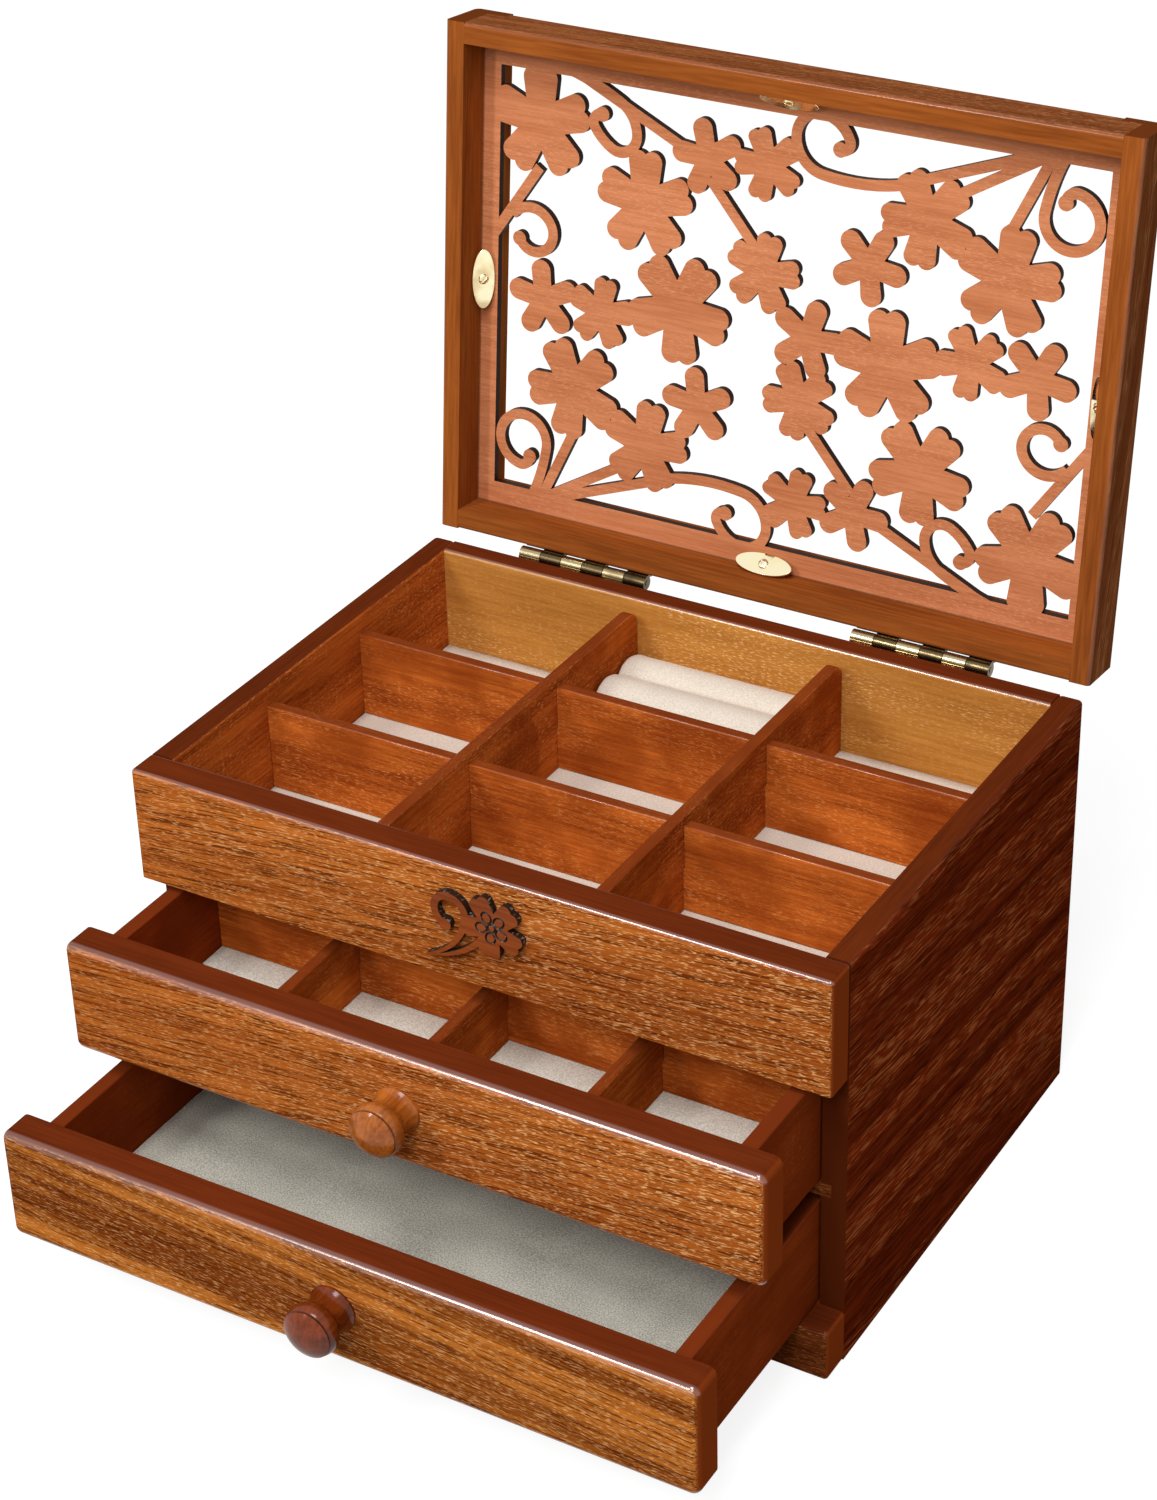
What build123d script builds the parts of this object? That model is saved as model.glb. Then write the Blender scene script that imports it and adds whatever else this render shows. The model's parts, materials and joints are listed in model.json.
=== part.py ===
from build123d import *
from math import cos, radians, sin
import os

# Jewelry box with a fretwork lid, a divided tray and two drawers, in millimetres.
# The origin is the centre of the case's underside. +Z is up and the front faces -Y.
# It is drawn as it stands in use: lid open, both drawers pulled part of the way out.

# Case
case_width = 280.0
case_depth = 204.0
case_height = 168.0
wall = 9.5
front_thickness = 13.0
edge_round = 1.6
corner_round = 2.4
base_rail_height = 21.5
base_board_thickness = 5.0
shelf_thickness = 6.0
front_gap = 0.8
groove_depth = 3.8
fit_gap = 0.1
runner_width = 12.0
runner_height = 6.0

# Tray in the top of the case
tray_floor_thickness = 2.0
lining_thickness = 0.8
lining_gap = 0.3
tray_divider_thickness = 4.6
tray_long_drop = 4.5
tray_cross_drop = 7.8
tray_end_round = 6.0
tray_columns = 3
tray_rows = 3

# Ring-roll pad
ring_roll_count = 3
ring_pad_height = 24.5
ring_pad_gap = 0.6
ring_roll_base = 12.0
ring_roll_valley = 19.2
ring_end_length = 2.5
ring_end_draw = 1.4

# Drawers
drawer_front_height = 45.7
front_corner_round = 3.4
front_face_round = 3.0
drawer_wall = 6.0
drawer_side_drop = 2.0
drawer_play = 1.0
drawer_back_play = 1.5
slide_gap = 0.4
drawer_bottom_thickness = 3.0
drawer_bottom_lift = 5.0
drawer_divider_thickness = 4.2
drawer_divider_drop = 7.5
drawer_cross_drop = 9.0
drawer_columns = 4
drawer_rows = 3
upper_pull = 47.0
lower_pull = 92.0

# Turned knob
knob_base_radius = 9.1
knob_base_edge = 0.8
knob_waist_radius = 7.7
knob_waist_at = 5.0
knob_shoulder_radius = 9.1
knob_shoulder_at = 9.5
knob_rim_radius = 9.4
knob_rim_at = 15.2
knob_groove_depth = 0.7
knob_groove_width = 0.7
knob_disc_radius = 9.2
knob_dome = 3.4
knob_tenon_radius = 3.2
knob_tenon_length = 6.0

# Lid
lid_thickness = 22.5
lid_gap = 0.4
lid_rim = 8.0
lid_ledge = 8.0
lid_ledge_thickness = 5.0
open_angle = 96.0

# Fretwork panel
fret_thickness = 3.0
fret_border_side = 8.0
fret_border_end = 9.5
stem_width = 4.1
scroll_width = 4.2
scroll_end_radius = 2.9
petal_count = 5

# Hinges
hinge_length = 57.0
hinge_inset = 38.5
hinge_leaf_height = 15.0
hinge_leaf_thickness = 1.2
knuckle_count = 6
knuckle_radius = 2.75
knuckle_gap = 0.3
barrel_clearance = 0.3
pin_radius = 1.1
pin_clearance = 0.05
leaf_setback = 3.3
hinge_screw_count = 3
hinge_screw_stagger = 3.0

# Screws
screw_head_radius = 2.1
screw_head_height = 0.8
screw_shank_radius = 1.1
screw_length = 7.0
screw_clearance = 0.1

# Oval clips that hold the fretwork in the lid
clip_length = 24.0
clip_width = 9.0
clip_thickness = 1.0
clip_gap = 0.2

# Ornament on the front
ornament_height = 2.8
ornament_blossom_radius = 12.5
ornament_stroke = 2.9
ornament_tip_width = 0.8
ornament_ball_radius = 2.4
ornament_reach = 20.0

# One overrun for every cut, and the reach within which an edge lies on a level
overrun = 2.0
touch = 0.01

# Shares that shape a blossom, of its radius, with the turns in degrees from a petal's middle
notched_valley_share = 0.50
notched_shoulder_share = 0.84
notched_shoulder_turn = 24.0
lobe_share = 0.985
lobe_turn = 13.0
notch_share = 0.915
plain_valley_share = 0.44
plain_shoulder_share = 0.76
plain_shoulder_turn = 21.0

# The fretwork is drawn on a field whose half depth is 1 and whose half width is this
field_aspect_share = 1.404

# Blossoms of one half: across, along, radius, turn in degrees, petals notched or plain
blossom_shares = [
    (-1.128, 0.691, 0.232, 20, True),
    (-0.638, 0.436, 0.222, 19, True),
    (-0.362, 0.671, 0.160, 32, False),
    (-0.096, 0.687, 0.152, 39, True),
    (-0.096, 0.248, 0.168, 7, True),
    (-0.468, 0.030, 0.236, 58, True),
    (-1.097, -0.048, 0.167, 25, False),
    (-0.822, -0.056, 0.154, 10, True),
    (-0.944, -0.409, 0.222, 45, True),
    (-0.362, -0.362, 0.164, 26, False),
    (-0.594, -0.588, 0.200, 10, True),
]
centre_blossom_share = (0.117, 0.016, 0.168, 2, False)

# Straight stems of one half: both ends
stem_shares = [
    ((-1.128, 0.505), (-1.340, 0.190)),
    ((-1.010, 0.941), (-0.440, 0.680)),
    ((-0.351, 0.590), (-0.125, 0.335)),
    ((1.106, 0.941), (0.553, 0.734)),
    ((1.106, 0.941), (0.681, 0.686)),
    ((1.096, 0.947), (0.936, 0.596)),
]

# Scrolls of one half: start, heading in degrees, then where each tangent arc ends
scroll_shares = [
    ((-1.255, 0.287), 52, [(-1.069, 0.271), (-1.138, 0.145), (-1.218, 0.191)]),
    (
        (-1.064, 0.941),
        -12,
        [(-0.766, 0.833), (-0.684, 0.710), (-0.796, 0.637), (-0.878, 0.713), (-0.844, 0.769)],
    ),
    (
        (0.489, 0.707),
        195,
        [(0.138, 0.689), (0.019, 0.819), (0.134, 0.926), (0.248, 0.840), (0.209, 0.798)],
    ),
    (
        (1.138, 0.941),
        245,
        [(1.067, 0.702), (1.176, 0.570), (1.291, 0.691), (1.197, 0.793), (1.147, 0.750)],
    ),
]

# Front ornament, as shares of its reach from the middle of the front panel: blossom, then
# the scroll's and the stem's start, heading in degrees and ends of their tangent arcs
ornament_blossom_share = (0.63, 0.24)
ornament_blossom_turn = 46.0
ornament_tip_share = (-0.70, -0.69)
ornament_scroll_heading = 20.0
ornament_scroll_shares = [(0.09, 0.22), (-0.23, 0.63), (-0.52, 0.315), (-0.32, 0.03)]
ornament_stem_heading = 8.0
ornament_stem_share = (0.53, 0.12)

# Places worked out from the sizes above
half_width = case_width / 2
half_depth = case_depth / 2
inner_half_width = half_width - wall
front_plane = -half_depth
front_back = front_plane + front_thickness
back_inner = half_depth - wall
lower_front_bottom = base_rail_height + front_gap
lower_front_top = lower_front_bottom + drawer_front_height
shelf_bottom = lower_front_top + front_gap
shelf_top = shelf_bottom + shelf_thickness
upper_front_bottom = shelf_top + front_gap
upper_front_top = upper_front_bottom + drawer_front_height
panel_bottom = upper_front_top + front_gap
tray_floor_top = panel_bottom + tray_floor_thickness
tray_lining_top = tray_floor_top + lining_thickness
lid_bottom = case_height + lid_gap
lid_top = lid_bottom + lid_thickness
ledge_bottom = lid_top - lid_ledge_thickness
fret_bottom = ledge_bottom - fret_thickness
hinge_y = half_depth + knuckle_radius + barrel_clearance
hinge_z = case_height + lid_gap / 2
hinge_offset = half_width - hinge_inset - hinge_length / 2
fret_half_width = half_width - lid_rim
fret_half_depth = half_depth - lid_rim


def block(xs, ys, zs):
    size = Box(xs[1] - xs[0], ys[1] - ys[0], zs[1] - zs[0])
    return Pos((xs[0] + xs[1]) / 2, (ys[0] + ys[1]) / 2, (zs[0] + zs[1]) / 2) * size


def rod(start, direction, radius, length):
    axis = Plane(origin=start, z_dir=direction)
    return extrude(axis * Circle(radius), length)


def between(first, second):
    return (min(first, second), max(first, second))


def edges_at(shape, along, *places):
    found = shape.edges().filter_by(along)
    for across, value in places:
        found = found.filter_by_position(across, value - touch, value + touch)
    return found


def polar(radius, angle):
    return Vector(radius * cos(radians(angle)), radius * sin(radians(angle)))


# Case

def side_panel(hand):
    inner, outer = hand * inner_half_width, hand * half_width
    panel = block(between(inner, outer), (front_back, half_depth), (0, case_height))
    panel = fillet(edges_at(panel, Axis.Y, (Axis.Z, case_height)), edge_round)
    panel = fillet(edges_at(panel, Axis.Z, (Axis.Y, half_depth), (Axis.X, outer)), corner_round)
    cut = between(inner - hand * overrun, inner + hand * groove_depth)
    for zs in ((panel_bottom, tray_floor_top), (shelf_bottom, shelf_top)):
        panel -= block(cut, (front_back - overrun, back_inner), zs)
    return panel


def back_panel():
    panel = block((-inner_half_width, inner_half_width), (back_inner, half_depth), (0, case_height))
    panel = fillet(edges_at(panel, Axis.X, (Axis.Z, case_height)), edge_round)
    panel -= block(
        (-half_width, half_width),
        (back_inner - overrun, back_inner + groove_depth),
        (panel_bottom, tray_floor_top),
    )
    for centre in (-hinge_offset, hinge_offset):
        for seat in hinge_screw_seats(centre, -1):
            panel -= screw_hole(seat)
    return panel


def front_panel():
    panel = block((-half_width, half_width), (front_plane, front_back), (panel_bottom, case_height))
    panel = fillet(edges_at(panel, Axis.X, (Axis.Z, case_height)), edge_round)
    panel = fillet(edges_at(panel, Axis.Z, (Axis.Y, front_plane)), edge_round)
    panel -= block(
        (-inner_half_width - groove_depth, inner_half_width + groove_depth),
        (front_back - groove_depth, front_back + overrun),
        (panel_bottom - overrun, tray_floor_top),
    )
    return panel


def base_rail():
    rail = block((-half_width, half_width), (front_plane, front_back), (0, base_rail_height))
    rail = fillet(edges_at(rail, Axis.Z, (Axis.Y, front_plane)), edge_round)
    return fillet(edges_at(rail, Axis.X, (Axis.Y, front_plane)), edge_round)


def base_board():
    return block((-inner_half_width, inner_half_width), (front_back, back_inner), (0, base_board_thickness))


def runner(hand):
    inner = hand * (inner_half_width - runner_width)
    outer = hand * inner_half_width
    zs = (base_rail_height - runner_height, base_rail_height)
    return block(between(inner, outer), (front_back, back_inner), zs)


def drawer_shelf():
    reach = inner_half_width + groove_depth - fit_gap
    return block((-reach, reach), (front_back, back_inner), (shelf_bottom, shelf_top))


def tray_floor():
    reach = inner_half_width + groove_depth - fit_gap
    ys = (front_back - groove_depth + fit_gap, back_inner + groove_depth - fit_gap)
    floor = block((-reach, reach), ys, (panel_bottom, tray_floor_top))
    for hand in (-1, 1):
        corner = between(hand * inner_half_width, hand * half_width)
        zs = (panel_bottom - overrun, tray_floor_top + overrun)
        floor -= block(corner, (back_inner, half_depth), zs)
    return floor


# Dividers, half-lapped where they cross: long ones are slotted below, cross ones above

def divider_places(low, high, count, thickness):
    cell = (high - low - (count - 1) * thickness) / count
    return [low + (k + 1) * cell + k * thickness for k in range(count - 1)]


def long_divider(x, xs_cross, thickness, ys, zs, lap):
    board = block((x, x + thickness), ys, zs)
    for y in xs_cross:
        slot = (y - fit_gap, y + thickness + fit_gap)
        board -= block((x - overrun, x + thickness + overrun), slot, (zs[0] - overrun, lap))
    return board


def cross_divider(y, xs_long, thickness, xs, zs, lap):
    board = block(xs, (y, y + thickness), zs)
    for x in xs_long:
        slot = (x - fit_gap, x + thickness + fit_gap)
        board -= block(slot, (y - overrun, y + thickness + overrun), (lap, zs[1] + overrun))
    return board


def tray_dividers():
    xs = (-inner_half_width, inner_half_width)
    ys = (front_back, back_inner)
    places_x = divider_places(xs[0], xs[1], tray_columns, tray_divider_thickness)
    places_y = divider_places(ys[0], ys[1], tray_rows, tray_divider_thickness)
    long_top = case_height - tray_long_drop
    cross_top = case_height - tray_cross_drop
    lap = (tray_lining_top + cross_top) / 2
    pieces = {}
    for name, x in zip(("left", "right"), places_x):
        board = long_divider(x, places_y, tray_divider_thickness, ys, (tray_lining_top, long_top), lap)
        board = fillet(edges_at(board, Axis.X, (Axis.Z, long_top)), tray_end_round)
        pieces["tray_divider_" + name] = board
    for name, y in zip(("front", "rear"), places_y):
        pieces["tray_cross_" + name] = cross_divider(
            y, places_x, tray_divider_thickness, xs, (tray_lining_top, cross_top), lap
        )
    return pieces


def tray_lining():
    reach = inner_half_width - lining_gap
    ys = (front_back + lining_gap, back_inner - lining_gap)
    return block((-reach, reach), ys, (tray_floor_top, tray_lining_top))


def ring_roll_pad():
    left, right = divider_places(-inner_half_width, inner_half_width, tray_columns, tray_divider_thickness)
    rear = divider_places(front_back, back_inner, tray_rows, tray_divider_thickness)[-1]
    xs = (left + tray_divider_thickness + ring_pad_gap, right - ring_pad_gap)
    ys = (rear + tray_divider_thickness + ring_pad_gap, back_inner - ring_pad_gap)

    def section(x, draw):
        low, high = ys[0] + draw, ys[1] - draw
        pitch = (high - low) / ring_roll_count
        base = tray_lining_top
        valley = base + ring_roll_valley - draw
        crown = base + ring_pad_height - draw
        shoulder = base + ring_roll_base
        rim = [(x, low + k * pitch, valley) for k in range(ring_roll_count + 1)]
        rim[0] = (x, low, shoulder)
        rim[-1] = (x, high, shoulder)
        lines = [Line((x, high, base), (x, low, base)), Line((x, low, base), rim[0])]
        for k in range(ring_roll_count):
            top = (x, low + (k + 0.5) * pitch, crown)
            lines.append(ThreePointArc(rim[k], top, rim[k + 1]))
        lines.append(Line(rim[-1], (x, high, base)))
        return Face(Wire(lines))

    stations = [
        (xs[0], ring_end_draw),
        (xs[0] + ring_end_length, 0),
        (xs[1] - ring_end_length, 0),
        (xs[1], ring_end_draw),
    ]
    return loft([section(x, draw) for x, draw in stations], ruled=True)


# Drawers, drawn shut

def drawer_front(bottom, groove):
    top = bottom + drawer_front_height
    front = block((-half_width, half_width), (front_plane, front_back), (bottom, top))
    front = fillet(front.edges().filter_by(Axis.Y), front_corner_round)
    front = fillet(front.faces().sort_by(Axis.Y)[0].edges(), front_face_round)
    reach = inner_half_width - drawer_play - drawer_wall + groove_depth
    front -= block((-reach, reach), (front_back - groove_depth, front_back + overrun), groove)
    centre = Vector(0, front_plane - overrun, (bottom + top) / 2)
    front -= rod(centre, (0, 1, 0), knob_tenon_radius + fit_gap, overrun + knob_tenon_length + fit_gap)
    return front


def knob(bottom):
    middle = bottom + drawer_front_height / 2
    shoulder = (knob_shoulder_radius, knob_shoulder_at)
    rim = (knob_rim_radius, knob_rim_at)
    disc = (knob_disc_radius, knob_rim_at + knob_groove_width)
    top = (0, disc[1] + knob_dome)
    tenon = Polyline(
        (0, -knob_tenon_length),
        (knob_tenon_radius, -knob_tenon_length),
        (knob_tenon_radius, 0),
        (knob_base_radius, 0),
        (knob_base_radius, knob_base_edge),
    )
    waist = ThreePointArc((knob_base_radius, knob_base_edge), (knob_waist_radius, knob_waist_at), shoulder)
    head = TangentArc(shoulder, rim, tangent=waist % 1)
    groove = Polyline(
        rim, (knob_rim_radius - knob_groove_depth, knob_rim_at + knob_groove_width / 2), disc
    )
    dome = TangentArc(top, disc, tangent=(1, 0))
    spine = Line(top, (0, -knob_tenon_length))
    turned = revolve(make_face([tenon, waist, head, groove, dome, spine]), Axis.Y)
    return Pos(0, front_plane, middle) * Rot(180, 0, 0) * turned


def drawer(name, bottom, pull, divided):
    ride = bottom - front_gap
    side_bottom = ride + slide_gap
    side_top = bottom + drawer_front_height - drawer_side_drop
    outer = inner_half_width - drawer_play
    inner = outer - drawer_wall
    box_back = back_inner - drawer_back_play
    box_inner_back = box_back - drawer_wall
    groove = (side_bottom + drawer_bottom_lift, side_bottom + drawer_bottom_lift + drawer_bottom_thickness)
    lining_top = groove[1] + lining_thickness
    pieces = {"front": drawer_front(bottom, groove), "knob": knob(bottom)}
    for hand, side in ((-1, "left"), (1, "right")):
        board = block(between(hand * inner, hand * outer), (front_back, box_back), (side_bottom, side_top))
        cut = between(hand * (inner - overrun), hand * (inner + groove_depth))
        ys = (front_back - overrun, box_inner_back + groove_depth)
        pieces[side + "_side"] = board - block(cut, ys, groove)
    back = block((-inner, inner), (box_inner_back, box_back), (side_bottom, side_top))
    pieces["back"] = back - block(
        (-half_width, half_width), (box_inner_back - overrun, box_inner_back + groove_depth), groove
    )
    reach = inner + groove_depth - fit_gap
    bottom_ys = (front_back - groove_depth + fit_gap, box_inner_back + groove_depth - fit_gap)
    pieces["bottom"] = block((-reach, reach), bottom_ys, groove)
    pieces["lining"] = block(
        (-inner + lining_gap, inner - lining_gap),
        (front_back + lining_gap, box_inner_back - lining_gap),
        (groove[1], lining_top),
    )
    if divided:
        long_top = side_top - drawer_divider_drop
        cross_top = side_top - drawer_cross_drop
        lap = (lining_top + cross_top) / 2
        ys = (front_back, box_inner_back)
        places_x = divider_places(-inner, inner, drawer_columns, drawer_divider_thickness)
        places_y = divider_places(ys[0], ys[1], drawer_rows, drawer_divider_thickness)
        for part, x in zip(("left", "middle", "right"), places_x):
            pieces["divider_" + part] = long_divider(
                x, places_y, drawer_divider_thickness, ys, (lining_top, long_top), lap
            )
        for part, y in zip(("front", "rear"), places_y):
            pieces["cross_" + part] = cross_divider(
                y, places_x, drawer_divider_thickness, (-inner, inner), (lining_top, cross_top), lap
            )
    return {name + "_" + part: Pos(0, -pull, 0) * shape for part, shape in pieces.items()}


# Lid, drawn shut

def lid_stile(hand):
    outer, wall_x, ledge_x = (hand * (half_width - k) for k in (0, lid_rim, lid_rim + lid_ledge))
    corners = [
        (outer, lid_bottom),
        (wall_x, lid_bottom),
        (wall_x, ledge_bottom),
        (ledge_x, ledge_bottom),
        (ledge_x, lid_top),
        (outer, lid_top),
    ]
    profile = make_face(Polyline(*[(x, 0, z) for x, z in corners], close=True))
    stile = extrude(profile, half_depth, dir=(0, 1, 0), both=True)
    stile = fillet(edges_at(stile, Axis.Y, (Axis.Z, lid_top), (Axis.X, outer)), corner_round)
    return fillet(edges_at(stile, Axis.Y, (Axis.Z, lid_bottom), (Axis.X, outer)), edge_round)


def lid_rail(hand, stiles):
    outer, wall_y, ledge_y = (hand * (half_depth - k) for k in (0, lid_rim, lid_rim + lid_ledge))
    corners = [
        (outer, lid_bottom),
        (wall_y, lid_bottom),
        (wall_y, ledge_bottom),
        (ledge_y, ledge_bottom),
        (ledge_y, lid_top),
        (outer, lid_top),
    ]
    profile = make_face(Polyline(*[(0, y, z) for y, z in corners], close=True))
    rail = extrude(profile, half_width - lid_rim, dir=(1, 0, 0), both=True)
    rail = fillet(edges_at(rail, Axis.X, (Axis.Z, lid_top), (Axis.Y, outer)), corner_round)
    rail = fillet(edges_at(rail, Axis.X, (Axis.Z, lid_bottom), (Axis.Y, outer)), edge_round)
    for stile in stiles:
        rail -= stile
    return rail


def blossom(centre, radius_x, radius_y, turn, notched):
    def at(share, angle):
        spot = polar(share, angle + turn)
        return centre + Vector(radius_x * spot.X, radius_y * spot.Y)

    step = 360 / petal_count
    valley_share = notched_valley_share if notched else plain_valley_share
    shoulder_share = notched_shoulder_share if notched else plain_shoulder_share
    shoulder_turn = notched_shoulder_turn if notched else plain_shoulder_turn
    arcs = []
    for k in range(petal_count):
        axis = k * step
        first = at(shoulder_share, axis - shoulder_turn)
        last = at(shoulder_share, axis + shoulder_turn)
        arcs.append(Line(at(valley_share, axis - step / 2), first))
        if notched:
            notch = at(notch_share, axis)
            arcs.append(ThreePointArc(first, at(lobe_share, axis - lobe_turn), notch))
            arcs.append(ThreePointArc(notch, at(lobe_share, axis + lobe_turn), last))
        else:
            arcs.append(ThreePointArc(first, at(1, axis), last))
        arcs.append(Line(last, at(valley_share, axis + step / 2)))
    return Face(Wire(arcs))


def stroke(edge, first_width, last_width):
    left, right = [], []
    for t in (0, 0.5, 1):
        width = first_width + t * (last_width - first_width)
        side = (edge % t).rotate(Axis.Z, 90) * (width / 2)
        left.append(edge @ t + side)
        right.append(edge @ t - side)
    if edge.geom_type == GeomType.LINE:
        return Face(Wire(Polyline(right[0], right[2], left[2], left[0], close=True).edges()))
    outline = [
        ThreePointArc(*right),
        Line(right[2], left[2]),
        ThreePointArc(*reversed(left)),
        Line(left[0], right[0]),
    ]
    return Face(Wire(outline))


def scroll(start, heading, ends, first_width, width, end_radius):
    faces = []
    tangent = polar(1, heading)
    for end in ends:
        arc = TangentArc(start, end, tangent=tangent)
        faces.append(stroke(arc, first_width, width))
        start, tangent, first_width = end, arc % 1, width
    faces.append(Pos(start) * Circle(end_radius).face())
    return faces


def field_point(share):
    return Vector(share[0] * fret_half_width / field_aspect_share, share[1] * fret_half_depth)


def fretwork_panel():
    radius_x, radius_y = fret_half_width / field_aspect_share, fret_half_depth
    faces = []
    for across, along, radius, turn, notched in blossom_shares:
        spot = field_point((across, along))
        faces.append(blossom(spot, radius * radius_x, radius * radius_y, turn, notched))
    for ends in stem_shares:
        faces.append(stroke(Line(*[field_point(end) for end in ends]), stem_width, stem_width))
    for start, heading, ends in scroll_shares:
        points = [field_point(end) for end in ends]
        widths = (scroll_width, scroll_width)
        faces += scroll(field_point(start), heading, points, *widths, scroll_end_radius)
    faces += [face.rotate(Axis.Z, 180) for face in faces]
    across, along, radius, turn, notched = centre_blossom_share
    faces.append(
        blossom(field_point((across, along)), radius * radius_x, radius * radius_y, turn, notched)
    )
    outer = Rectangle(2 * (fret_half_width - fit_gap), 2 * (fret_half_depth - fit_gap))
    opening = Rectangle(
        2 * (fret_half_width - fret_border_side), 2 * (fret_half_depth - fret_border_end)
    )
    border = outer - opening
    design = (border.face().fuse(*faces)).faces()
    panel = Part() + [extrude(face, fret_thickness) for face in design]
    # The field is drawn as the open lid shows it, so it is turned over here
    return Pos(0, 0, fret_bottom) * mirror(panel, about=Plane.XZ)


def clip_frames():
    wall_x, wall_y = half_width - lid_rim, half_depth - lid_rim
    return {
        "left": Plane(origin=(-wall_x, 0, fret_bottom), x_dir=(0, 1, 0), z_dir=(1, 0, -1)),
        "right": Plane(origin=(wall_x, 0, fret_bottom), x_dir=(0, 1, 0), z_dir=(-1, 0, -1)),
        "front": Plane(origin=(0, -wall_y, fret_bottom), x_dir=(1, 0, 0), z_dir=(0, 1, -1)),
        "back": Plane(origin=(0, wall_y, fret_bottom), x_dir=(1, 0, 0), z_dir=(0, -1, -1)),
    }


def clip(frame):
    seat = frame.offset(clip_width / 2 + clip_gap)
    plate = Ellipse(clip_length / 2, clip_width / 2) - Circle(screw_shank_radius + screw_clearance)
    return extrude(seat * plate, clip_thickness)


def clip_seat(frame):
    return frame.offset(clip_width / 2 + clip_gap + clip_thickness)


def screw(seat):
    head = TangentArc((0, screw_head_height), (screw_head_radius, 0), tangent=(1, 0))
    shank = Polyline(
        (0, screw_head_height),
        (0, -screw_length),
        (screw_shank_radius, -screw_length),
        (screw_shank_radius, 0),
        (screw_head_radius, 0),
    )
    turned = revolve(make_face([head, shank]), Axis.Y)
    return seat * Rot(90, 0, 0) * turned


def screw_hole(seat):
    deep = screw_length + screw_clearance
    return extrude(seat * Circle(screw_shank_radius + screw_clearance), -deep)


# Hinges: a leaf below the axis on the case, and one above it on the lid when that is shut

def hinge_screw_seats(centre, hand):
    pitch = hinge_length / hinge_screw_count
    seats = []
    for k in range(hinge_screw_count):
        step = k - (hinge_screw_count - 1) / 2
        drop = leaf_setback + hinge_leaf_height / 2 + hinge_screw_stagger * (0.5 - abs(step))
        spot = (centre + step * pitch, half_depth + hinge_leaf_thickness, hinge_z + hand * drop)
        seats.append(Plane(origin=spot, x_dir=(1, 0, 0), z_dir=(0, 1, 0)))
    return seats


def hinge_leaf(centre, hand):
    low, high = centre - hinge_length / 2, centre + hinge_length / 2
    ys = (half_depth, half_depth + hinge_leaf_thickness)
    edge = hinge_z + hand * leaf_setback
    far = edge + hand * hinge_leaf_height
    leaf = block((low, high), ys, between(edge, far))
    for seat in hinge_screw_seats(centre, hand):
        leaf -= screw_hole(seat)
    pitch = hinge_length / knuckle_count
    first = 0 if hand < 0 else 1
    for k in range(first, knuckle_count, 2):
        xs = (low + k * pitch + knuckle_gap / 2, low + (k + 1) * pitch - knuckle_gap / 2)
        leaf += block(xs, ys, between(edge - hand * leaf_setback, edge))
        leaf += rod((xs[0], hinge_y, hinge_z), (1, 0, 0), knuckle_radius, xs[1] - xs[0])
    bore_length = hinge_length + 2 * overrun
    bore_radius = pin_radius + pin_clearance
    return leaf - rod((low - overrun, hinge_y, hinge_z), (1, 0, 0), bore_radius, bore_length)


def hinge_pin(centre):
    return rod((centre - hinge_length / 2, hinge_y, hinge_z), (1, 0, 0), pin_radius, hinge_length)


def front_ornament():
    def spot(share):
        return Vector(share[0] * ornament_reach, share[1] * ornament_reach)

    radius = ornament_blossom_radius
    faces = [blossom(spot(ornament_blossom_share), radius, radius, ornament_blossom_turn, True)]
    ends = [spot(share) for share in ornament_scroll_shares]
    tip = spot(ornament_tip_share)
    widths = (ornament_tip_width, ornament_stroke)
    faces += scroll(tip, ornament_scroll_heading, ends, *widths, ornament_ball_radius)
    stem = TangentArc(tip, spot(ornament_stem_share), tangent=polar(1, ornament_stem_heading))
    faces.append(stroke(stem, *widths))
    middle = (0, front_plane, (panel_bottom + case_height) / 2)
    face = Plane(origin=middle, x_dir=(1, 0, 0), z_dir=(0, -1, 0))
    flat = faces[0].fuse(*faces[1:]).faces()
    return Part() + [extrude(face * outline, ornament_height) for outline in flat]


def case_pieces():
    pieces = {
        "side_left": side_panel(-1),
        "side_right": side_panel(1),
        "back_panel": back_panel(),
        "front_panel": front_panel(),
        "base_rail": base_rail(),
        "base_board": base_board(),
        "runner_left": runner(-1),
        "runner_right": runner(1),
        "drawer_shelf": drawer_shelf(),
        "tray_floor": tray_floor(),
        "tray_lining": tray_lining(),
        "ring_roll_pad": ring_roll_pad(),
        "front_ornament": front_ornament(),
    }
    pieces.update(tray_dividers())
    screws = []
    for hand, side in ((-1, "left"), (1, "right")):
        centre = hand * hinge_offset
        pieces["hinge_" + side + "_case_leaf"] = hinge_leaf(centre, -1)
        pieces["hinge_" + side + "_pin"] = hinge_pin(centre)
        screws += [screw(seat) for seat in hinge_screw_seats(centre, -1)]
    pieces["case_hinge_screws"] = Compound(children=screws)
    return pieces


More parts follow.
